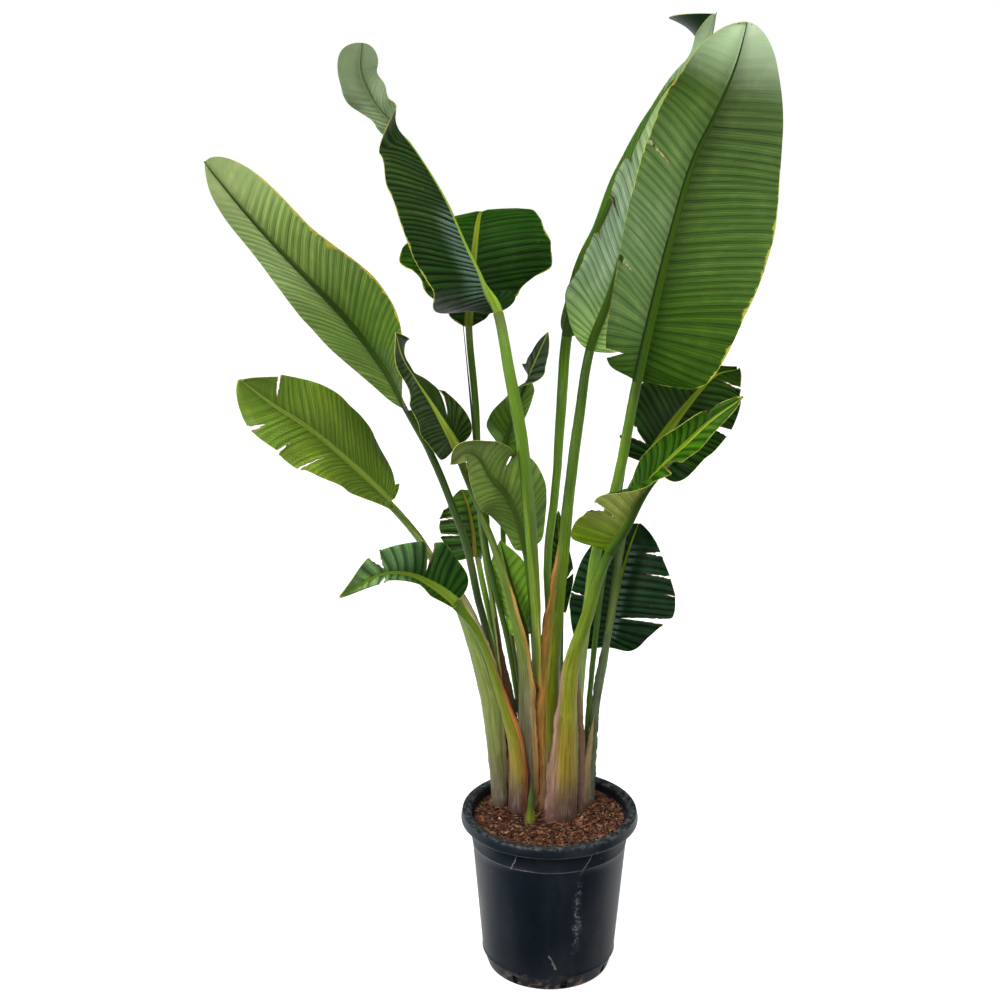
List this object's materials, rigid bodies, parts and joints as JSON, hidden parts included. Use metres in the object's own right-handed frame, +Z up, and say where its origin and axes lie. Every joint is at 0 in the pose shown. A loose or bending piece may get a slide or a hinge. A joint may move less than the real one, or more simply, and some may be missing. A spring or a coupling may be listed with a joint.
{
  "type": "potted plant",
  "caption": "Indoor bird of paradise plant with long-stalked banana-like leaves, some torn, standing in soil in a round tapered nursery pot.",
  "frame": {"origin": "centre of the underside of the pot, on the floor", "axes": "+Z up along the pot axis, -Y towards the side that the picture shows, +X to the right seen from that side"},
  "size_m": [0.7631, 0.4559, 1.4112],
  "materials": {
    "pot_plastic": "dark blue-black moulded plastic, satin, scratched",
    "potting_mix": "damp coir and bark chips",
    "stalk": "waxy, green above, paler at the sheath",
    "leaf_blade": "leathery, glossy above, waxy below",
    "young_leaf": "smooth, rolled"
  },
  "bodies": {
    "root": {"pot": "pot_plastic", "soil": "potting_mix", "leaf_upper_left_stalk": "stalk", "leaf_upper_left_blade": "leaf_blade", "leaf_top_left_stalk": "stalk", "leaf_top_left_blade": "leaf_blade", "leaf_top_centre_stalk": "stalk", "leaf_top_centre_blade": "leaf_blade", "leaf_top_right_stalk": "stalk", "leaf_top_right_blade": "leaf_blade", "leaf_top_back_stalk": "stalk", "leaf_top_back_blade": "leaf_blade", "leaf_top_middle_stalk": "stalk", "leaf_top_middle_blade": "leaf_blade", "leaf_middle_left_stalk": "stalk", "leaf_middle_left_blade": "leaf_blade", "leaf_lower_left_stalk": "stalk", "leaf_lower_left_blade": "leaf_blade", "leaf_centre_left_stalk": "stalk", "leaf_centre_left_blade": "leaf_blade", "leaf_centre_stalk": "stalk", "leaf_centre_blade": "leaf_blade", "leaf_centre_back_stalk": "stalk", "leaf_centre_back_blade": "leaf_blade", "leaf_front_right_stalk": "stalk", "leaf_front_right_blade": "leaf_blade", "leaf_back_right_stalk": "stalk", "leaf_back_right_blade": "leaf_blade", "leaf_lower_right_stalk": "stalk", "leaf_lower_right_blade": "leaf_blade", "leaf_back_left_stalk": "stalk", "leaf_back_left_blade": "leaf_blade", "leaf_centre_low_stalk": "stalk", "leaf_centre_low_blade": "leaf_blade", "leaf_back_low_stalk": "stalk", "leaf_back_low_blade": "leaf_blade", "spear_left": "young_leaf", "spear_right": "young_leaf", "young_shoot": "young_leaf"}
  },
  "joints": []
}
